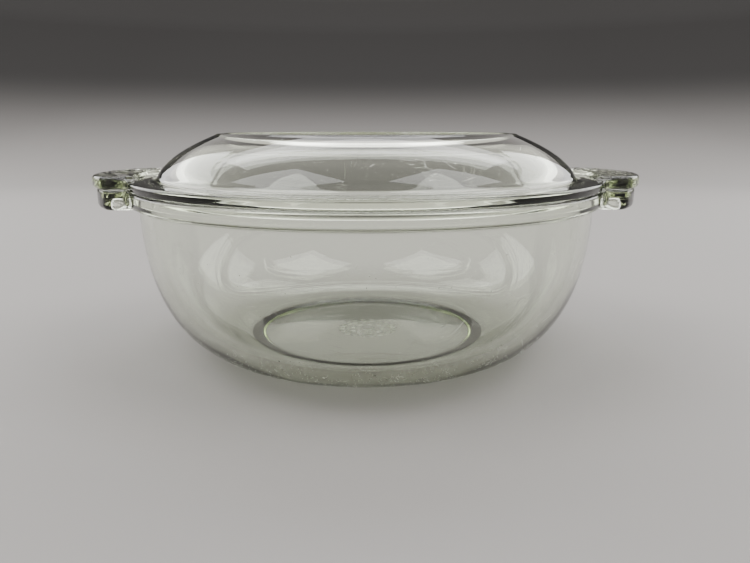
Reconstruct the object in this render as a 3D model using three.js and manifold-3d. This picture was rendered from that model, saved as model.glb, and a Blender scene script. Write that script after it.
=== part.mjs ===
// Round casserole dish with a lid, both pressed in pale green heat-resistant glass.
//
// The dish is a deep bowl on a flat foot, with a thick rim band and a tab handle at each end.
// The lid is a low dome with a flat top, a thin flange that lies on the rim, and a locating ring
// that drops inside the mouth. Its tab handles cover the dish's, and are thicker than the flange.
//
// Units are millimetres and +Z is up. The origin is the centre of the foot, the handles lie
// along X, and the dish is symmetric about the planes X = 0 and Y = 0.

import * as THREE from "three";
import { mergeVertices } from "three/addons/utils/BufferGeometryUtils.js";
import Module from "manifold-3d";

// Driving dimensions.
const HANDLE_SPAN = 247.6; // over both tabs
const RIM_RADIUS = 105; // outside of the rim band, and of the lid's flange
const OVERALL_HEIGHT = 99; // foot to the top of the lid
const DISH_HEIGHT = 75.8; // foot to the top of the rim
const WALL = 4.8; // glass thickness of the bowl
const LID_WALL = 4.5; // glass thickness of the lid
const SEAT_GAP = 0.3; // between the rim and the flange that lies on it

// Dish: the bowl, its foot and the rim band.
const BAND_STEP = 3.9; // how far the rim band stands out of the bowl
const BAND_HEIGHT = 6.2;
const BOWL_RADIUS = RIM_RADIUS - BAND_STEP;
const MOUTH_RADIUS = BOWL_RADIUS - WALL;
const FOOT_RADIUS = 57;
const FOOT_WIDTH = 5.5; // the flat ring that the dish stands on
const FOOT_RECESS = 0.8; // the base inside that ring is raised by this much
const FLOOR_RADIUS = 50;
const FLOOR_HEIGHT = FOOT_RECESS + 4.4;

// Lid, in its own frame: z = 0 is the underside of the flange.
const LID_HEIGHT = OVERALL_HEIGHT - DISH_HEIGHT - SEAT_GAP;
const FLANGE_HEIGHT = 3.7;
const CROWN_RADIUS = 68; // where the flat top turns down into the dome
const CROWN_BEAD = 5; // width of the raised ring round the top
const CROWN_RECESS = 1; // the top inside the bead is lower by this much
const DOME_FOOT_RADIUS = 93.6; // where the dome meets the flange
const RING_RADIUS = MOUTH_RADIUS - 0.9; // outside of the locating ring
const RING_WIDTH = 3.4;
const RING_DEPTH = 4;

// Tab handles. The dish's tabs end a little short of the lid's, and are hollow underneath.
const TAB_HALF_WIDTH = 31.5;
const TAB_END_RADIUS = 47; // the arched end of the tab
const TAB_CORNER = 5;
const DISH_TAB_SETBACK = 1.6;
const DISH_TAB_HEIGHT = 8.6;
const DISH_TAB_PLATE = 3.7;
const DISH_TAB_LIP = 3.2; // thickness of the lip that turns down round the hollow
const LID_TAB_HEIGHT = 5.3;
const LID_TAB_START = RIM_RADIUS - 3; // inside this radius the flange keeps its own height

const EDGE = 1.3; // rounding of the pressed edges
const TURNS = 72; // facets round a turned surface
const FACET = 8; // length of a facet along a curved profile
const CLEAR = 2; // how far a cutting solid runs past what it cuts

const wasm = await Module();
wasm.setup();

// A closed three.js geometry as a manifold-3d solid.
function solidOf(geometry) {
  const bare = geometry.clone();
  bare.deleteAttribute("normal");
  bare.deleteAttribute("uv");
  const merged = mergeVertices(bare, 1e-4);
  const kept = [];
  const corners = merged.index.array;
  for (let i = 0; i < corners.length; i += 3) {
    const [a, b, c] = corners.slice(i, i + 3);
    if (a !== b && b !== c && c !== a) kept.push(a, b, c);
  }
  return new wasm.Manifold(
    new wasm.Mesh({
      numProp: 3,
      vertProperties: merged.attributes.position.array,
      triVerts: new Uint32Array(kept),
    }),
  );
}

// A manifold-3d solid as a three.js geometry.
function geometryOf(solid) {
  const mesh = solid.getMesh();
  const geometry = new THREE.BufferGeometry();
  geometry.setAttribute("position", new THREE.BufferAttribute(mesh.vertProperties, 3));
  geometry.setIndex(new THREE.BufferAttribute(mesh.triVerts, 1));
  geometry.computeVertexNormals();
  return geometry;
}

// Points along a path: straight runs keep their ends, and curves are stepped by length.
function stepped(path) {
  const points = [path.curves[0].getPoint(0)];
  for (const curve of path.curves) {
    const steps = curve.isLineCurve ? 1 : Math.max(2, Math.round(curve.getLength() / FACET));
    points.push(...curve.getPoints(steps).slice(1));
  }
  return points;
}

// The solid that a profile of (radius, height) sweeps round Z. The profile runs up the outside
// from the axis back to the axis.
function turned(profile) {
  const lathe = new THREE.LatheGeometry(stepped(profile), TURNS);
  lathe.rotateX(Math.PI / 2);
  return solidOf(lathe);
}

// The solid between two heights over a plan outline, with its edges rounded by `edge`.
function upright(outline, bottom, top, edge) {
  const slab = new THREE.ExtrudeGeometry(new THREE.Shape(stepped(outline)), {
    depth: top - bottom - 2 * edge,
    bevelEnabled: edge > 0,
    bevelThickness: edge,
    bevelSize: edge,
    bevelOffset: -edge,
    bevelSegments: 2,
  });
  slab.translate(0, 0, bottom + edge);
  return solidOf(slab);
}

// Plan of the tab on the +X side, inset all round: straight sides, rounded corners and an
// arched end. It starts well inside the rim.
function tabOutline(inset, setback = 0) {
  const half = TAB_HALF_WIDTH - inset;
  const endRadius = TAB_END_RADIUS - inset;
  const centre = HANDLE_SPAN / 2 - setback - TAB_END_RADIUS;
  const corner = TAB_CORNER - inset / 2;
  // The corner's arc touches the straight side and the inside of the end's arc.
  const rise = half - corner;
  const cornerX = centre + Math.sqrt((endRadius - corner) ** 2 - rise ** 2);
  const turn = Math.atan2(rise, cornerX - centre);
  const start = MOUTH_RADIUS * 0.7;
  const outline = new THREE.Path();
  outline.moveTo(start, -half);
  outline.lineTo(cornerX, -half);
  outline.absarc(cornerX, -rise, corner, -Math.PI / 2, -turn, false);
  outline.absarc(centre, 0, endRadius, -turn, turn, false);
  outline.absarc(cornerX, rise, corner, turn, Math.PI / 2, false);
  outline.lineTo(start, half);
  outline.lineTo(start, -half);
  return outline;
}

// The solid on the +X side together with the same solid on the -X side.
function bothEnds(solid) {
  return solid.add(solid.rotate([0, 0, 180]));
}

function dishGeometry() {
  const bandBottom = DISH_HEIGHT - BAND_HEIGHT;
  const outside = new THREE.Path();
  outside.moveTo(0, FOOT_RECESS);
  outside.lineTo(FOOT_RADIUS - FOOT_WIDTH - FOOT_RECESS, FOOT_RECESS);
  outside.lineTo(FOOT_RADIUS - FOOT_WIDTH, 0);
  outside.lineTo(FOOT_RADIUS, 0);
  outside.bezierCurveTo(85.2, 2.6, 100.6, 26.5, BOWL_RADIUS, bandBottom - EDGE);
  outside.quadraticCurveTo(BOWL_RADIUS, bandBottom, BOWL_RADIUS + EDGE, bandBottom);
  outside.lineTo(RIM_RADIUS - EDGE, bandBottom);
  outside.quadraticCurveTo(RIM_RADIUS, bandBottom, RIM_RADIUS, bandBottom + EDGE);
  outside.lineTo(RIM_RADIUS, DISH_HEIGHT - EDGE);
  outside.quadraticCurveTo(RIM_RADIUS, DISH_HEIGHT, RIM_RADIUS - EDGE, DISH_HEIGHT);
  outside.lineTo(0, DISH_HEIGHT);

  const inside = new THREE.Path();
  inside.moveTo(0, FLOOR_HEIGHT);
  inside.lineTo(FLOOR_RADIUS, FLOOR_HEIGHT);
  inside.bezierCurveTo(79.5, FLOOR_HEIGHT, 95.8, 26, MOUTH_RADIUS, bandBottom);
  inside.lineTo(MOUTH_RADIUS, DISH_HEIGHT - EDGE);
  inside.quadraticCurveTo(MOUTH_RADIUS, DISH_HEIGHT, MOUTH_RADIUS + EDGE, DISH_HEIGHT);
  inside.lineTo(MOUTH_RADIUS + EDGE, DISH_HEIGHT + CLEAR);
  inside.lineTo(0, DISH_HEIGHT + CLEAR);

  const bowl = turned(outside);
  const tabBottom = DISH_HEIGHT - DISH_TAB_HEIGHT;
  const tabOuter = tabOutline(0, DISH_TAB_SETBACK);
  const hollowOutline = tabOutline(DISH_TAB_LIP, DISH_TAB_SETBACK);
  const tabs = bothEnds(upright(tabOuter, tabBottom, DISH_HEIGHT, EDGE));
  const hollows = bothEnds(upright(hollowOutline, tabBottom - CLEAR, DISH_HEIGHT - DISH_TAB_PLATE, 0));
  return geometryOf(bowl.add(tabs).subtract(hollows.subtract(bowl)).subtract(turned(inside)));
}

function lidGeometry() {
  const recessRadius = CROWN_RADIUS - CROWN_BEAD;
  const outside = new THREE.Path();
  outside.moveTo(0, -RING_DEPTH);
  outside.lineTo(RING_RADIUS - EDGE, -RING_DEPTH);
  outside.quadraticCurveTo(RING_RADIUS, -RING_DEPTH, RING_RADIUS, EDGE - RING_DEPTH);
  outside.lineTo(RING_RADIUS, 0);
  outside.lineTo(RIM_RADIUS - EDGE, 0);
  outside.quadraticCurveTo(RIM_RADIUS, 0, RIM_RADIUS, EDGE);
  outside.lineTo(RIM_RADIUS, FLANGE_HEIGHT - EDGE);
  outside.quadraticCurveTo(RIM_RADIUS, FLANGE_HEIGHT, RIM_RADIUS - EDGE, FLANGE_HEIGHT);
  outside.lineTo(DOME_FOOT_RADIUS + EDGE, FLANGE_HEIGHT);
  outside.lineTo(DOME_FOOT_RADIUS, FLANGE_HEIGHT + 0.4);
  outside.quadraticCurveTo(88, LID_HEIGHT - 8.7, CROWN_RADIUS, LID_HEIGHT - 0.6);
  outside.lineTo(CROWN_RADIUS - EDGE, LID_HEIGHT);
  outside.lineTo(recessRadius + CROWN_RECESS, LID_HEIGHT);
  outside.lineTo(recessRadius, LID_HEIGHT - CROWN_RECESS);
  outside.lineTo(0, LID_HEIGHT - CROWN_RECESS);

  const ceiling = LID_HEIGHT - CROWN_RECESS - LID_WALL;
  const ringInside = RING_RADIUS - RING_WIDTH;
  const inside = new THREE.Path();
  inside.moveTo(0, -RING_DEPTH - CLEAR);
  inside.lineTo(ringInside + 0.5, -RING_DEPTH - CLEAR);
  inside.lineTo(ringInside + 0.5, -RING_DEPTH);
  inside.lineTo(ringInside, EDGE - RING_DEPTH);
  inside.quadraticCurveTo(84, ceiling - 6.6, CROWN_RADIUS - LID_WALL, ceiling);
  inside.lineTo(0, ceiling);

  const dome = turned(outside);
  const tabs = bothEnds(upright(tabOutline(0), 0, LID_TAB_HEIGHT, EDGE));
  const overFlange = new THREE.Path();
  overFlange.moveTo(0, FLANGE_HEIGHT - EDGE);
  overFlange.lineTo(LID_TAB_START - EDGE, FLANGE_HEIGHT - EDGE);
  overFlange.lineTo(LID_TAB_START + EDGE, LID_TAB_HEIGHT + CLEAR);
  overFlange.lineTo(0, LID_TAB_HEIGHT + CLEAR);
  const padded = tabs.subtract(turned(overFlange));
  return geometryOf(dome.add(padded).subtract(turned(inside)));
}

// Pale green glass. Each piece has its own material.
function glass(tint) {
  return new THREE.MeshStandardMaterial({
    color: tint,
    roughness: 0.05,
    metalness: 0,
    transparent: true,
    opacity: 0.4,
  });
}

const dish = new THREE.Mesh(dishGeometry(), glass(0xc8d2bf));
dish.name = "dish";

const lid = new THREE.Mesh(lidGeometry(), glass(0xcdd6c6));
lid.name = "lid";
const lidSeat = new THREE.Group();
lidSeat.position.z = DISH_HEIGHT + SEAT_GAP;
lidSeat.add(lid);

const casserole = new THREE.Group();
casserole.add(dish, lidSeat);

export default casserole;
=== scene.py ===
# A round casserole dish with a lid, in clear pressed glass with a pale green tint.
#
# Each piece is one closed mesh on a polar grid: a turned section for the bowl or dome, whose
# outermost rings follow the plan of the rim and the tab handles. Both replace their CAD nodes.
# The pieces are drawn in millimetres, and their materials and the stage are in metres.
import math

import bpy
import numpy as np
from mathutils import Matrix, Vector


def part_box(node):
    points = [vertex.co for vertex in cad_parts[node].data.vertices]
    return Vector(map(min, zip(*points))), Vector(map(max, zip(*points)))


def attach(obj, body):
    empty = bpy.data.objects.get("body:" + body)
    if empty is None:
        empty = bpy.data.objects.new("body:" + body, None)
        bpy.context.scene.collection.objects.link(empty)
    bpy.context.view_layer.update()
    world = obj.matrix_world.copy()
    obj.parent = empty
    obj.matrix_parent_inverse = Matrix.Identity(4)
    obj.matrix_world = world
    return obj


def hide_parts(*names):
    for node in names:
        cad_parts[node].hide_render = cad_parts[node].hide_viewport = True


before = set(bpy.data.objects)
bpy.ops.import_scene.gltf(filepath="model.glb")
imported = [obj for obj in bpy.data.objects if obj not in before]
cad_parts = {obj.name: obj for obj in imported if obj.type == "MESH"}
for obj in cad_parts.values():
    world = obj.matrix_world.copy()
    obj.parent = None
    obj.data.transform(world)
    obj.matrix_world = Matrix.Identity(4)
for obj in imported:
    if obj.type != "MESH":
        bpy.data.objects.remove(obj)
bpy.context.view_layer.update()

MM = 0.001

# ---------------------------------------------------------------- sizes

# Outer sizes, read from the CAD nodes.
dish_high = np.array(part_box("dish")[1]) / MM
lid_high = np.array(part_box("lid")[1]) / MM
RIM_RADIUS = float(dish_high[1])
DISH_HEIGHT = float(dish_high[2])
DISH_TIP = float(dish_high[0])
LID_TIP = float(lid_high[0])
TOP = float(lid_high[2])

# Rim and walls.
SEAT_GAP = 0.3
BAND_STEP = 3.9
BAND_HEIGHT = 6.2
BAND_FILLET = 1.6
BAND_START = 1.5
BOWL_WALL = 4.8
BOWL_RADIUS = RIM_RADIUS - BAND_STEP
MOUTH_RADIUS = BOWL_RADIUS - BOWL_WALL
MOUTH_EDGE = 1.6
BAND_BOTTOM = DISH_HEIGHT - BAND_HEIGHT
LID_BASE = DISH_HEIGHT + SEAT_GAP
FLANGE_TOP = LID_BASE + 3.7

# Tab handles.
TAB_HALF_WIDTH = 31.5
TAB_END_RADIUS = 47.0
TAB_CORNER = 5.0
TAB_FILLET = 3.4
TAB_BOTTOM = DISH_HEIGHT - 8.6
TAB_PLATE = 3.7
TAB_LIP = 3.2
TAB_FADE = 6.0  # length of outline over which a tab turns into the rim
LID_TAB_RISE = 1.6

# Rounded edges, each as (rim, tab).
DISH_LOW_EDGE = (1.3, 2.1)
DISH_HIGH_EDGE = (1.2, 1.5)
LID_LOW_EDGE = 1.2
LID_HIGH_EDGE = (1.2, 1.7)

# Foot ring and floor. The curves list the control points (radius, height) of a Bezier curve.
FOOT_OUT = 57.0
FOOT_IN = 51.6
FOOT_RAMP = 1.8
BASE_RECESS = 0.8
FLOOR_RADIUS = 50.0
FLOOR_HEIGHT = 5.2
BOWL_OUTSIDE = [(FOOT_OUT, 0), (85.2, 2.6), (100.6, 26.5), (BOWL_RADIUS, BAND_BOTTOM - BAND_FILLET)]
BOWL_INSIDE = [
    (MOUTH_RADIUS, BAND_BOTTOM),
    (95.8, 26),
    (79.5, FLOOR_HEIGHT),
    (FLOOR_RADIUS, FLOOR_HEIGHT),
]

# Mould mark under the base. Its studs lie in rings, as (ring radius, studs, stud radius).
MARK_REACH = 16.5
MARK_HEIGHT = 0.75
BOSS_RADIUS = 3.4
BOSS_SLOPE = 0.8
STUD_RINGS = ((12.6, 18, 1.9), (7.4, 9, 1.7))
STUD_SLOPE = 0.7

# Lid: the locating ring that hangs in the mouth, the dome, and the raised ring round its flat top.
RING_OUT = MOUTH_RADIUS - 0.9
RING_IN = RING_OUT - 3.4
RING_LOW = LID_BASE - 4.0
RING_EDGE = 1.3
RING_INNER_EDGE = 1.6
RING_FILLET = 0.5
CROWN_RADIUS = 68.0
CROWN_EDGE = 2.6
BEAD_WIDTH = 5.0
BEAD_EDGE = 1.6
TOP_RECESS = 1.0
LID_WALL = 4.5
CEILING = TOP - TOP_RECESS - LID_WALL
CEILING_RADIUS = CROWN_RADIUS - LID_WALL
CEILING_BEND = 3
CEILING_DROP = 0.75
DOME_FOOT = 93.6
DOME_FILLET = 2.2
DOME_START = (DOME_FOOT - 0.9, FLANGE_TOP + 1.9)
DOME_OUTSIDE = [DOME_START, (88.0, TOP - 8.7), (CROWN_RADIUS, TOP - 0.7)]
DOME_INSIDE = [
    (CEILING_RADIUS + CEILING_BEND, CEILING - CEILING_DROP),
    (84.0, CEILING - 6.6),
    (RING_IN, RING_LOW + RING_INNER_EDGE),
]

# ---------------------------------------------------------------- curves and meshes


def smooth(x):
    """0 below 0, 1 above 1, with a soft step between."""
    x = np.clip(x, 0.0, 1.0)
    return x * x * (3.0 - 2.0 * x)


def mix(a, b, t):
    return a + (b - a) * t


def arc(cx, cy, radius, start, end, step):
    """Points and outward normals on an arc, without its last point."""
    n = max(3, int(round(abs(end - start) * radius / step)))
    a = np.linspace(start, end, n, endpoint=False)
    normal = np.stack([np.cos(a), np.sin(a)], axis=1)
    return np.array([cx, cy]) + radius * normal, normal


def bezier(points, n, skip_first=True):
    """n + 1 points along a Bezier curve of any degree, or n without the first."""
    t = np.linspace(0.0, 1.0, n + 1)[:, None]
    level = [np.array([p], dtype=float) + 0 * t for p in points]
    while len(level) > 1:
        level = [mix(a, b, t) for a, b in zip(level, level[1:])]
    return level[0][1:] if skip_first else level[0]


def line(a, b, n):
    """n points along a line, without its first point."""
    t = np.linspace(0.0, 1.0, n + 1)[1:, None]
    return mix(np.array([a], dtype=float), np.array([b], dtype=float), t)


def directions(angles):
    return np.stack([np.cos(angles), np.sin(angles)], 1)


def turned(profile, angles):
    """Rings of a turned section: one for each (radius, height) of the profile."""
    outward = directions(angles)
    return [np.column_stack([r * outward, np.full(len(angles), z)]) for r, z in profile]


def ring_faces(rings, n):
    """Quads between neighbouring rings of n points each."""
    j = np.arange(n)
    k = (j + 1) % n
    faces = []
    for a in range(0, (rings - 1) * n, n):
        faces.extend(np.stack([a + j, a + k, a + n + k, a + n + j], 1).tolist())
    return faces


def fan_faces(first, n, centre):
    """Triangles from the ring of n points that starts at index first, to the point at centre."""
    j = np.arange(n)
    return np.stack([first + j, first + (j + 1) % n, np.full(n, centre)], 1)


def add_mesh(name, verts, faces, material, shaded_smooth):
    mesh = bpy.data.meshes.new(name)
    mesh.from_pydata(verts, [], faces)
    if shaded_smooth:
        mesh.polygons.foreach_set("use_smooth", np.ones(len(faces), dtype=bool))
    mesh.update()
    mesh.materials.append(material)
    piece = bpy.data.objects.new(name, mesh)
    bpy.context.scene.collection.objects.link(piece)
    return piece


def ring_mesh(name, rings, material):
    """A closed mesh from rings of points. The first and last rings lie on the axis."""
    n = len(rings[0])
    body = np.concatenate(rings[1:-1])
    verts = np.concatenate([body, [rings[0][0]], [rings[-1][0]]]) * MM
    faces = ring_faces(len(rings) - 2, n)
    faces.extend(fan_faces(0, n, len(body))[:, ::-1].tolist())
    faces.extend(fan_faces(len(body) - n, n, len(body) + 1).tolist())
    return add_mesh(name, verts.tolist(), faces, material, True)


# ---------------------------------------------------------------- the rim and its tabs


def rim_plan(tip):
    """The closed plan of the rim with its two tabs, which reach out to x = tip and -tip.

    It comes as points, outward normals, the angle that each point has on the turned sections, and
    how far the point belongs to a tab (1) or to the rim (0).
    """
    centre = tip - TAB_END_RADIUS
    corner_y = TAB_HALF_WIDTH - TAB_CORNER
    corner_x = centre + math.sqrt((TAB_END_RADIUS - TAB_CORNER) ** 2 - corner_y**2)
    corner_turn = math.atan2(corner_y, corner_x - centre)
    fillet_y = TAB_HALF_WIDTH + TAB_FILLET
    fillet_x = math.sqrt((RIM_RADIUS + TAB_FILLET) ** 2 - fillet_y**2)
    leave = math.atan2(fillet_y, fillet_x)

    # Half of one tab: its end, its corner, its straight side, and the fillet to the rim.
    side_x = np.linspace(corner_x, fillet_x, int(corner_x - fillet_x), endpoint=False)
    side = np.column_stack([side_x, np.full(len(side_x), TAB_HALF_WIDTH)])
    fillet, into_fillet = arc(fillet_x, fillet_y, TAB_FILLET, -math.pi / 2, leave - math.pi, 0.5)
    runs = [
        arc(centre, 0.0, TAB_END_RADIUS, 0.0, corner_turn, 1.2),
        arc(corner_x, corner_y, TAB_CORNER, corner_turn, math.pi / 2, 0.6),
        (side, np.tile([0.0, 1.0], (len(side), 1))),
        (fillet, -into_fillet),
    ]
    tab_points, tab_normals = (np.concatenate(part) for part in zip(*runs))
    spans = np.linalg.norm(np.diff(tab_points, axis=0), axis=1)
    run = np.concatenate([[0.0], np.cumsum(spans)])
    run_end = run[-1] + 0.4
    tab_angles = leave * run / run_end
    tab_part = 1.0 - smooth((run - (run_end - TAB_FADE - 1.0)) / TAB_FADE)

    # The rim from there to the y axis, in steps that grow away from the tab.
    steps = np.cumsum(np.minimum(0.8 * 1.08 ** np.arange(200), 2.2)) / RIM_RADIUS
    rim_angles = leave + np.concatenate([[0.0], steps])
    rim_angles = rim_angles[rim_angles < math.pi / 2 - 0.5 / RIM_RADIUS]
    reach = rim_angles[-1] + 2.0 / RIM_RADIUS - leave
    rim_angles = leave + (rim_angles - leave) * (math.pi / 2 - leave) / reach
    rim_normals = directions(rim_angles)

    points = np.concatenate([tab_points, RIM_RADIUS * rim_normals])
    normals = np.concatenate([tab_normals, rim_normals])
    angles = np.concatenate([tab_angles, rim_angles])
    part = np.concatenate([tab_part, np.zeros(len(rim_angles))])

    # That quarter, mirrored to the upper half, and the upper half turned round to the lower one.
    on_axis = [[[0.0, RIM_RADIUS]], [[0.0, 1.0]], [math.pi / 2], [0.0]]
    flip_x = np.array([-1.0, 1.0])
    left = [(points * flip_x)[::-1], (normals * flip_x)[::-1], (math.pi - angles)[::-1], part[::-1]]
    upper = [np.concatenate(q) for q in zip([points, normals, angles, part], on_axis, left)]
    points, normals, angles, part = (q[1:-1] for q in upper)
    lower = [-points, -normals, angles + math.pi, part]
    return [np.concatenate(q) for q in zip(upper, lower)]


def edge_distance(points, plan):
    """Distance from each point to the nearest point of the plan."""
    return np.sqrt(((points[:, None, :] - plan[None, :, :]) ** 2).sum(2)).min(1)


def ripple(p, tab, depth):
    """Soft unevenness of the pressed handles, in millimetres."""
    x, y, z = p[:, 0], p[:, 1], p[:, 2]
    waves = np.sin(1.25 * x + 0.45 * y + 0.9 * z) + np.sin(1.1 * y - 0.5 * x + 1.7 * z + 1.3)
    waves += np.sin(0.9 * x - 0.85 * y - 1.3 * z + 4.1)
    return depth / 3.0 * waves * smooth(tab)


EDGE_STEPS = 6
WALL_STEPS = 5
WALL_RIPPLE = 0.09
TOP_RIPPLE = 0.2


def wall_rings(plan, normals, tab, bottom, top, low_edge, high_edge):
    """The upright edge of the rim and its tabs, with rounded lower and upper edges. On the tabs
    it is uneven, which fades out at its lower and upper end."""
    turns = np.linspace(0.0, math.pi / 2, EDGE_STEPS + 1)
    lower, upper = bottom + low_edge, top - high_edge
    steps = [(low_edge * (1 - math.sin(a)), bottom + low_edge * (1 - math.cos(a))) for a in turns]
    steps += [(0.0, mix(lower, upper, t)) for t in np.linspace(0.0, 1.0, WALL_STEPS + 1)[1:-1]]
    steps += [(high_edge * (1 - math.cos(a)), top - high_edge * (1 - math.sin(a))) for a in turns]
    rings = []
    for i, (inset, z) in enumerate(steps):
        ring = np.column_stack([plan - normals * np.reshape(inset, (-1, 1)), z])
        fade = math.sin(math.pi * i / (len(steps) - 1))
        push = fade * ripple(ring, tab, WALL_RIPPLE)
        rings.append(ring + np.column_stack([normals, 0 * tab]) * push[:, None])
    return rings


# ---------------------------------------------------------------- the dish


def mark_relief(r, angles):
    """A plain mould mark: two rings of studs round a small boss, as a height from 0 to 1."""
    height = smooth((BOSS_RADIUS - r) / BOSS_SLOPE) * np.ones(len(angles))
    for radius, count, size in STUD_RINGS:
        around = (angles * count / (2 * math.pi) + 0.5) % 1.0 - 0.5
        across = around * 2 * math.pi / count * radius
        stud = smooth((size - np.hypot(across, r - radius)) / STUD_SLOPE)
        height = np.maximum(height, stud)
    return height


def dish_rings():
    plan, normals, angles, tab = rim_plan(DISH_TIP)
    outward = directions(angles)

    # The underside with its mark and foot ring, and the outside of the bowl, up to the band.
    rings = []
    for r in np.concatenate([[0.0], np.linspace(0.5, MARK_REACH, 38)]):
        z = BASE_RECESS - MARK_HEIGHT * mark_relief(r, angles)
        rings.append(np.column_stack([r * outward, z]))
    ramp_start, ramp_middle = FOOT_IN - FOOT_RAMP, FOOT_IN - FOOT_RAMP / 2
    ramp = [(ramp_start, BASE_RECESS), (ramp_middle, BASE_RECESS), (ramp_middle, 0), (FOOT_IN, 0)]
    under_band = (BOWL_RADIUS + BAND_START, BAND_BOTTOM)
    profile = [
        line((MARK_REACH, BASE_RECESS), (ramp_start, BASE_RECESS), 5),
        bezier(ramp, 8),
        line((FOOT_IN, 0.0), (FOOT_OUT, 0.0), 4),
        bezier(BOWL_OUTSIDE, 36),
        bezier([BOWL_OUTSIDE[-1], (BOWL_RADIUS, BAND_BOTTOM), under_band], 6),
    ]
    rings += turned(np.concatenate(profile), angles)

    # Under the band and the tabs, out to the edge. The tabs are hollow behind a lip.
    low_edge = mix(*DISH_LOW_EDGE, tab)
    high_edge = mix(*DISH_HIGH_EDGE, tab)
    bottom = mix(BAND_BOTTOM, TAB_BOTTOM, tab)
    start = under_band[0] * outward
    finish = plan - normals * low_edge[:, None]
    for t in np.linspace(0.0, 1.0, 35)[1:-1]:
        p = mix(start, finish, t)
        inside = edge_distance(p, plan)
        lip = mix(bottom, BAND_BOTTOM, smooth((inside - TAB_LIP) / 1.6))
        past_rim = np.linalg.norm(p, axis=1) - RIM_RADIUS
        hollow = smooth((inside - TAB_LIP) / 1.9) * smooth(past_rim / 2.2)
        rings.append(np.column_stack([p, mix(lip, DISH_HEIGHT - TAB_PLATE, hollow)]))
    top = np.full(len(plan), DISH_HEIGHT)
    rings += wall_rings(plan, normals, tab, bottom, top, low_edge, high_edge)

    # Over the top to the mouth, and down the inside.
    start = plan - normals * high_edge[:, None]
    finish = (MOUTH_RADIUS + MOUTH_EDGE) * outward
    for t in np.linspace(0.0, 1.0, 11)[1:]:
        rings.append(np.column_stack([mix(start, finish, t), top]))
    edge_top = (MOUTH_RADIUS + MOUTH_EDGE, DISH_HEIGHT)
    edge_low = (MOUTH_RADIUS, DISH_HEIGHT - MOUTH_EDGE)
    profile = [
        bezier([edge_top, (MOUTH_RADIUS, DISH_HEIGHT), edge_low], 7),
        line(edge_low, BOWL_INSIDE[0], 5),
        bezier(BOWL_INSIDE, 35),
        line((FLOOR_RADIUS, FLOOR_HEIGHT), (0.8, FLOOR_HEIGHT), 7),
        [(0.0, FLOOR_HEIGHT)],
    ]
    return rings + turned(np.concatenate(profile), angles)


# ---------------------------------------------------------------- the lid


def lid_rings():
    plan, normals, angles, tab = rim_plan(LID_TIP)
    outward = directions(angles)

    # The ceiling, down the inside of the dome, and round the locating ring.
    bend = [(CEILING_RADIUS - CEILING_BEND, CEILING), (CEILING_RADIUS, CEILING), DOME_INSIDE[0]]
    ring_foot_in = (RING_IN + RING_INNER_EDGE, RING_LOW)
    ring_foot_out = (RING_OUT - RING_EDGE, RING_LOW)
    ring_side = (RING_OUT, RING_LOW + RING_EDGE)
    ring_top = (RING_OUT, LID_BASE - RING_FILLET)
    under_flange = (RING_OUT + RING_FILLET, LID_BASE)
    profile = [
        [(0.0, CEILING)],
        line((0.0, CEILING), bend[0], 12),
        bezier(bend, 8),
        bezier(DOME_INSIDE, 30),
        bezier([DOME_INSIDE[-1], (RING_IN + 0.35, RING_LOW), ring_foot_in], 6),
        line(ring_foot_in, ring_foot_out, 2),
        bezier([ring_foot_out, (RING_OUT, RING_LOW), ring_side], 6),
        line(ring_side, ring_top, 5),
        bezier([ring_top, (RING_OUT, LID_BASE), under_flange], 4),
    ]
    rings = turned(np.concatenate(profile), angles)

    # Under the flange and the tabs, and round their edge.
    base = np.full(len(plan), LID_BASE)
    start = under_flange[0] * outward
    finish = plan - normals * LID_LOW_EDGE
    for t in np.linspace(0.0, 1.0, 14)[1:-1]:
        rings.append(np.column_stack([mix(start, finish, t), base]))
    top = FLANGE_TOP + LID_TAB_RISE * tab
    high_edge = mix(*LID_HIGH_EDGE, tab)
    rings += wall_rings(plan, normals, tab, base, top, 0 * base + LID_LOW_EDGE, high_edge)

    # Back over the top. The tabs are thicker than the flange, and slope down to it over the rim.
    start = plan - normals * high_edge[:, None]
    finish = (DOME_FOOT + DOME_FILLET) * outward
    for t in np.linspace(0.0, 1.0, 36)[1:]:
        p = mix(start, finish, t)
        beyond = np.linalg.norm(p, axis=1) - (RIM_RADIUS - 4.2)
        z = FLANGE_TOP + (top - FLANGE_TOP) * smooth(beyond / 2.6)
        ring = np.column_stack([p, z])
        ring[:, 2] += ripple(ring, smooth(beyond / 6.0) * (t < 1.0), TOP_RIPPLE)
        rings.append(ring)

    # Up the dome, over the raised ring, and across the shallow recess inside it.
    flange_end = (DOME_FOOT + DOME_FILLET, FLANGE_TOP)
    crown_low = (CROWN_RADIUS, TOP - 0.6)
    crown_top = (CROWN_RADIUS - CROWN_EDGE, TOP)
    bead_in = CROWN_RADIUS - BEAD_WIDTH
    bead_top = (bead_in + BEAD_EDGE, TOP)
    bead_low = (bead_in, TOP - TOP_RECESS)
    recess_start = (bead_in - 1.4, TOP - TOP_RECESS)
    profile = [
        bezier([flange_end, (DOME_FOOT + 0.2, FLANGE_TOP), DOME_START], 8),
        bezier(DOME_OUTSIDE, 32),
        bezier([crown_low, (CROWN_RADIUS - 1.2, TOP), crown_top], 6),
        line(crown_top, bead_top, 2),
        bezier([bead_top, (bead_in, TOP), bead_low], 6),
        bezier([bead_low, bead_low, recess_start], 4),
        line(recess_start, (0.8, TOP - TOP_RECESS), 12),
        [(0.0, TOP - TOP_RECESS)],
    ]
    return rings + turned(np.concatenate(profile), angles)


# ---------------------------------------------------------------- wear

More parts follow.
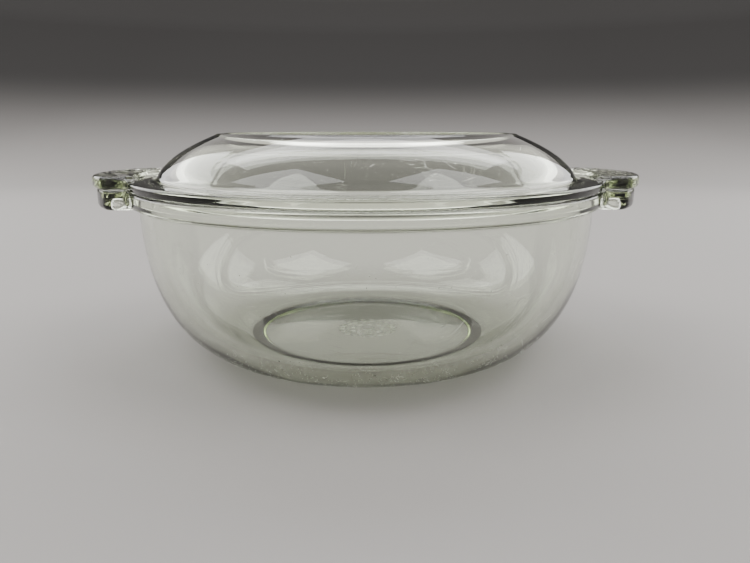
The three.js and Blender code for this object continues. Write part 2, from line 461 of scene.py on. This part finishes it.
# Rows of wear: (clusters, marks in each, low, high, shortest, longest, width), in millimetres.
DISH_MARKS = [
    (260, 6, 3.0, 21.0, 0.3, 1.0, 0.28),
    (100, 2, 3.0, 22.0, 1.0, 3.0, 0.16),
    (230, 1, 14.0, 66.0, 0.3, 0.8, 0.34),
    (24, 1, 12.0, 62.0, 2.5, 11.0, 0.14),
]
LID_MARKS = [
    (110, 1, FLANGE_TOP + 2.5, TOP - 1.2, 0.3, 0.9, 0.26),
    (12, 1, FLANGE_TOP + 4, TOP - 4, 2.0, 8.0, 0.14),
]
MARK_SPREAD_UP = 1.3
MARK_SPREAD_ROUND = 0.02
LONG_MARK = 1.5
MARK_LIFT = 0.03
MARK_END_LIFT = 0.005


def wear_marks(name, profile, rows, material, seed):
    """Chips and hairline scratches, as thin closed slivers lying in the turned surface whose
    (radius, height) curve is profile."""
    random = np.random.default_rng(seed)
    radii, heights = profile[:, 0], profile[:, 1]
    verts, faces = [], []
    for clusters, count, low, high, shortest, longest, width in rows:
        for spot in range(clusters * count):
            if spot % count == 0:
                spot_z = low + (high - low) * random.beta(1.6, 2.0)
                spot_turn = random.uniform(0.0, 2 * math.pi)
            z = float(np.clip(spot_z + random.normal(0.0, MARK_SPREAD_UP), low, high))
            turn = spot_turn + random.normal(0.0, MARK_SPREAD_ROUND)
            r = float(np.interp(z, heights, radii))
            dr = float(np.interp(z + 0.5, heights, radii)) - r
            up = np.array([dr, 0.5]) / math.hypot(dr, 0.5)
            out = np.array([up[1] * math.cos(turn), up[1] * math.sin(turn), -up[0]])
            length = shortest * (longest / shortest) ** random.random()
            heading = random.uniform(0.0, math.pi)
            bend = random.normal(0.0, 0.12)
            half = width * random.uniform(0.6, 1.3) / 2

            # The middle line follows the surface round the axis and up the profile.
            path = []
            for t in np.linspace(-0.5, 0.5, 5 if length > LONG_MARK else 3):
                along, aside = length * t, bend * length * (t * t)
                u = along * math.cos(heading) - aside * math.sin(heading)
                v = along * math.sin(heading) + aside * math.cos(heading)
                here = float(np.interp(z + v * up[1], heights, radii))
                a = turn + u / here
                path.append(np.array([here * math.cos(a), here * math.sin(a), z + v * up[1]]))

            # Four points round each point of it, thinner at both ends.
            side = np.cross(out, path[-1] - path[0])
            side = side / np.linalg.norm(side)
            first, last = len(verts), len(verts) + 4 * (len(path) - 1)
            for i, p in enumerate(path):
                at_end = i in (0, len(path) - 1)
                taper = half * (0.25 if at_end else 1.0)
                lift = MARK_END_LIFT if at_end else MARK_LIFT
                verts += [p + side * taper, p + out * lift, p - side * taper, p - out * MARK_LIFT]
            for a in range(first, last, 4):
                for k in range(4):
                    m = (k + 1) % 4
                    faces.append((a + k, a + m, a + 4 + m, a + 4 + k))
            faces.append((first + 3, first + 2, first + 1, first))
            faces.append((last, last + 1, last + 2, last + 3))
    return add_mesh(name, (np.array(verts) * MM).tolist(), faces, material, False)


# ---------------------------------------------------------------- materials

GLASS_SURFACE = (0.99, 1.0, 0.985, 1.0)
GLASS_TINT = (0.67, 0.89, 0.12, 1.0)
GLASS_DENSITY = 10.0
GLASS_IOR = 1.48
POLISH = 0.012
HAZE = 0.03
DAMAGED_ROUGHNESS = 0.5
FROSTED_ROUGHNESS = 0.5
LEAST_WORN = 0.2
WEAR_LOW_FADE = 0.004
WEAR_HIGH_FADE = 0.012
FROST_RADIUS = 0.0155
FROST_FADE = 0.0005
FROST_STEP = 0.0003


def glass_material(name, wear_low, wear_high, frosted_below):
    """Clear glass, tinted by its own depth, with mould ripple, fine scratches and specks.

    Scratches are thickest between the heights wear_low and wear_high. Near the axis, the tops of
    the mould mark's studs are frosted below the height frosted_below. All three are in metres.
    """
    material = bpy.data.materials.new(name)
    material.use_nodes = True
    tree = material.node_tree
    nodes, links = tree.nodes, tree.links
    shader = nodes["Principled BSDF"]
    shader.inputs["Base Color"].default_value = GLASS_SURFACE
    shader.inputs["Transmission Weight"].default_value = 1.0
    shader.inputs["IOR"].default_value = GLASS_IOR

    volume = nodes.new("ShaderNodeVolumeAbsorption")
    volume.inputs["Color"].default_value = GLASS_TINT
    volume.inputs["Density"].default_value = GLASS_DENSITY
    links.new(volume.outputs[0], nodes["Material Output"].inputs["Volume"])

    coords = nodes.new("ShaderNodeTexCoord").outputs["Object"]

    def mapped(stretch, turn=(0, 0, 0)):
        place = nodes.new("ShaderNodeMapping")
        place.inputs["Scale"].default_value = stretch
        place.inputs["Rotation"].default_value = turn
        links.new(coords, place.inputs["Vector"])
        return place.outputs[0]

    def noise(scale, detail, rough, stretch=(1, 1, 1), turn=(0, 0, 0)):
        n = nodes.new("ShaderNodeTexNoise")
        n.inputs["Scale"].default_value = scale
        n.inputs["Detail"].default_value = detail
        n.inputs["Roughness"].default_value = rough
        links.new(mapped(stretch, turn), n.inputs["Vector"])
        return n.outputs["Fac"]

    def ramp(value, low, high, invert=False):
        m = nodes.new("ShaderNodeMapRange")
        m.interpolation_type = "SMOOTHSTEP"
        m.inputs["From Min"].default_value = low
        m.inputs["From Max"].default_value = high
        m.inputs["To Min"].default_value = 1.0 if invert else 0.0
        m.inputs["To Max"].default_value = 0.0 if invert else 1.0
        links.new(value, m.inputs["Value"])
        return m.outputs["Result"]

    def math_node(op, a, b):
        m = nodes.new("ShaderNodeMath")
        m.operation = op
        for socket, value in zip(m.inputs, (a, b)):
            if hasattr(value, "links"):
                links.new(value, socket)
            else:
                socket.default_value = value
        return m.outputs[0]

    def scratches(scale, turn, stretch, width):
        """Short thin lines: the crest of a stretched noise, broken up by a second one."""
        crest = noise(scale, 1.0, 0.4, stretch, turn)
        crest = math_node("ABSOLUTE", math_node("SUBTRACT", crest, 0.5), 0.0)
        thin = ramp(crest, 0.0, width, invert=True)
        broken = ramp(noise(scale * 0.35, 2.0, 0.6, turn=turn), 0.68, 0.72)
        return math_node("MULTIPLY", thin, broken)

    def bump(height, strength, distance):
        b = nodes.new("ShaderNodeBump")
        b.inputs["Strength"].default_value = strength
        b.inputs["Distance"].default_value = distance
        links.new(height, b.inputs["Height"])
        return b

    # How worn each height is.
    separate = nodes.new("ShaderNodeSeparateXYZ")
    links.new(coords, separate.inputs[0])
    height = separate.outputs["Z"]
    above = ramp(height, wear_low - WEAR_LOW_FADE, wear_low + WEAR_LOW_FADE / 2)
    below = ramp(height, wear_high - WEAR_LOW_FADE, wear_high + WEAR_HIGH_FADE, invert=True)
    worn = math_node("MULTIPLY", math_node("MULTIPLY", above, below), 1.0 - LEAST_WORN)
    worn = math_node("ADD", worn, LEAST_WORN)

    # Scratches in three directions, and specks.
    marks = scratches(90.0, (0.3, 0.2, 0.5), (1.0, 7.0, 1.0), 0.010)
    for scale, turn, stretch in (
        (120.0, (1.2, 0.4, 2.1), (1.0, 9.0, 1.0)),
        (70.0, (0.7, 1.9, 1.2), (9.0, 1.0, 1.0)),
    ):
        marks = math_node("MAXIMUM", marks, scratches(scale, turn, stretch, 0.008))
    cells = nodes.new("ShaderNodeTexVoronoi")
    cells.inputs["Scale"].default_value = 260.0
    links.new(coords, cells.inputs["Vector"])
    speck = ramp(cells.outputs["Distance"], 0.06, 0.13, invert=True)
    speck = math_node("MULTIPLY", speck, ramp(noise(60.0, 3.0, 0.7), 0.56, 0.64))
    damage = math_node("MULTIPLY", math_node("MAXIMUM", marks, speck), worn)
    damage = math_node("MINIMUM", damage, 1.0)

    # Roughness: polished, with faint haze in patches, rough damage and the frosted studs.
    haze = math_node("MULTIPLY", ramp(noise(28.0, 4.0, 0.6), 0.45, 0.75), HAZE)
    rough = math_node("ADD", haze, POLISH)
    rough = math_node("ADD", rough, math_node("MULTIPLY", damage, DAMAGED_ROUGHNESS))
    radius = nodes.new("ShaderNodeVectorMath")
    radius.operation = "LENGTH"
    links.new(mapped((1.0, 1.0, 0.0)), radius.inputs[0])
    in_mark = ramp(radius.outputs["Value"], FROST_RADIUS, FROST_RADIUS + FROST_FADE, invert=True)
    on_stud = ramp(height, frosted_below, frosted_below + FROST_STEP, invert=True)
    frosted = math_node("MULTIPLY", math_node("MULTIPLY", in_mark, on_stud), FROSTED_ROUGHNESS)
    links.new(math_node("MAXIMUM", rough, frosted), shader.inputs["Roughness"])

    # Bump: slow mould ripple first, then the damage.
    mould = bump(noise(26.0, 1.0, 0.4, (1, 1, 0.5)), 0.25, 0.0006)
    pits = bump(damage, 0.6, 0.0002)
    pits.invert = True
    links.new(mould.outputs["Normal"], pits.inputs["Normal"])
    links.new(pits.outputs["Normal"], shader.inputs["Normal"])
    return material


def ramp_material(name, roughness, low, high):
    """A matt material whose colour runs from low to high, each as (position, colour). Returns the
    material, its colour ramp, and its node tree."""
    material = bpy.data.materials.new(name)
    material.use_nodes = True
    tree = material.node_tree
    shader = tree.nodes["Principled BSDF"]
    shader.inputs["Roughness"].default_value = roughness
    ramp = tree.nodes.new("ShaderNodeValToRGB")
    for element, (position, colour) in zip(ramp.color_ramp.elements, (low, high)):
        element.position = position
        element.color = (*colour, 1.0)
    tree.links.new(ramp.outputs["Color"], shader.inputs["Base Color"])
    return material, ramp, tree


def wear_material():
    """Dull white, where the surface is chipped or scratched."""
    low, high = (0.0, (0.80, 0.82, 0.74)), (1.0, (0.96, 0.97, 0.93))
    material, ramp, tree = ramp_material("worn_glass", 0.45, low, high)
    grain = tree.nodes.new("ShaderNodeTexNoise")
    grain.inputs["Scale"].default_value = 900.0
    tree.links.new(grain.outputs["Fac"], ramp.inputs["Fac"])
    return material


def paper_painted_shade_material():
    """Pale matt paper whose colour darkens with height up the wall, as painted shade: the dark
    upper wall stands in for light falling off above the floor.
    """
    # The high colour is painted shade, near black at 0.22 m up the wall; the low one is the pale
    # paper.
    low, high = (0.004, (0.31, 0.30, 0.295)), (0.22, (0.030, 0.029, 0.029))
    material, ramp, tree = ramp_material("paper", 0.8, low, high)
    ramp.color_ramp.interpolation = "EASE"
    coords = tree.nodes.new("ShaderNodeTexCoord")
    split = tree.nodes.new("ShaderNodeSeparateXYZ")
    tree.links.new(coords.outputs["Object"], split.inputs[0])
    tree.links.new(split.outputs["Z"], ramp.inputs["Fac"])
    return material


# ---------------------------------------------------------------- the object

dish = ring_mesh("dish_glass", dish_rings(), glass_material("dish_glass", 0.004, 0.020, 0.0003))
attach(dish, "dish_body")
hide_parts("dish")

worn_glass = wear_material()
dish_wear = wear_marks("dish_wear", bezier(BOWL_OUTSIDE, 200), DISH_MARKS, worn_glass, seed=7)
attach(dish_wear, "dish_body")

# The lid has no mark, so no height on it is frosted.
lid = ring_mesh("lid_glass", lid_rings(), glass_material("lid_glass", 0.078, 0.092, -1.0))
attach(lid, "lid_body")
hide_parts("lid")

lid_wear = wear_marks("lid_wear", bezier(DOME_OUTSIDE, 200), LID_MARKS, worn_glass, seed=11)
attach(lid_wear, "lid_body")

# ---------------------------------------------------------------- the stage

# The paper's section as (radius, height), from its far edge inwards: flat, up the back of its wall,
# over the top, down the curve, and flat to the middle. The wall stands only behind the object: it
# is gone WALL_END degrees away from the +Y axis, and at full height WALL_FADE degrees nearer.
PAPER_BACK = [
    (4.0, 0.0),
    (2.6, 0.0),
    (1.9, 0.0),
    (1.55, 0.0),
    (1.46, 0.40),
    (1.44, 0.42),
    (1.42, 0.40),
]
PAPER_CURVE = [(1.0, 0.0), (1.36, 0.0), (1.38, 0.34)]
PAPER_FLOOR = [(0.8, 0.0), (0.6, 0.0), (0.3, 0.0)]
PAPER_SIDES = 144
WALL_END = 52.0
WALL_FADE = 13.0


def paper_sheet():
    """A wide round sheet of paper, curved up into a wall behind the object."""
    curve = bezier(PAPER_CURVE, 30, skip_first=False)[::-1].tolist()
    profile = PAPER_BACK + curve + PAPER_FLOOR
    angles = np.linspace(0.0, 2 * math.pi, PAPER_SIDES, endpoint=False)
    behind = np.degrees(np.abs(angles - math.pi / 2))
    wall = smooth((WALL_END - behind) / WALL_FADE)
    verts = []
    for r, z in profile:
        verts += [(r * math.cos(a), r * math.sin(a), z * w) for a, w in zip(angles, wall)]
    faces = ring_faces(len(profile), PAPER_SIDES)
    faces += fan_faces(len(verts) - PAPER_SIDES, PAPER_SIDES, len(verts)).tolist()
    verts.append((0.0, 0.0, 0.0))
    return add_mesh("floor", verts, faces, paper_painted_shade_material(), True)


def area_light(name, place, target, size, power):
    """A rectangular light, unseen by the camera. Lengths are in metres and power is in watts."""
    light = bpy.data.lights.new(name, "AREA")
    light.shape = "RECTANGLE"
    light.size, light.size_y = size
    light.energy = power
    lamp = bpy.data.objects.new(name, light)
    bpy.context.scene.collection.objects.link(lamp)
    lamp.location = place
    lamp.visible_camera = False
    lamp.rotation_euler = (Vector(target) - Vector(place)).to_track_quat("-Z", "Y").to_euler()


floor = paper_sheet()

world = bpy.data.worlds.new("studio")
bpy.context.scene.world = world
world.use_nodes = True
world.node_tree.nodes["Background"].inputs["Color"].default_value = (0.85, 0.81, 0.765, 1.0)
world.node_tree.nodes["Background"].inputs["Strength"].default_value = 1.0

area_light("key_left", (-0.42, -0.18, 0.8), (0, 0, 0.05), (0.5, 0.5), 3.6)
area_light("key_right", (0.42, -0.18, 0.8), (0, 0, 0.05), (0.5, 0.5), 3.6)
area_light("back", (0.0, 0.6, 0.95), (0, 0, 0.05), (1.4, 0.4), 5.0)
area_light("wash", (0.0, 0.7, 1.0), (0, 1.1, 0.0), (1.8, 0.3), 5.0)
area_light("side_left", (-0.85, 0.55, 0.5), (0, 0, 0.06), (0.8, 0.6), 4.5)
area_light("side_right", (0.85, 0.55, 0.5), (0, 0, 0.06), (0.8, 0.6), 4.5)

# The camera looks across the object from the front, a little above the lid.
CAMERA_BACK = 0.3067
CAMERA_HEIGHT = 0.1018
CAMERA_PITCH = math.radians(13.38)
CAMERA_YAW = math.radians(0.70)
camera_data = bpy.data.cameras.new("camera")
camera_data.sensor_width = 36.0
camera_data.lens = 31.25
camera_data.clip_start = 0.01
camera = bpy.data.objects.new("camera", camera_data)
bpy.context.scene.collection.objects.link(camera)
camera.location = (0.0, -CAMERA_BACK, CAMERA_HEIGHT)
camera.rotation_euler = (math.pi / 2 - CAMERA_PITCH, 0.0, -CAMERA_YAW)
bpy.context.scene.camera = camera
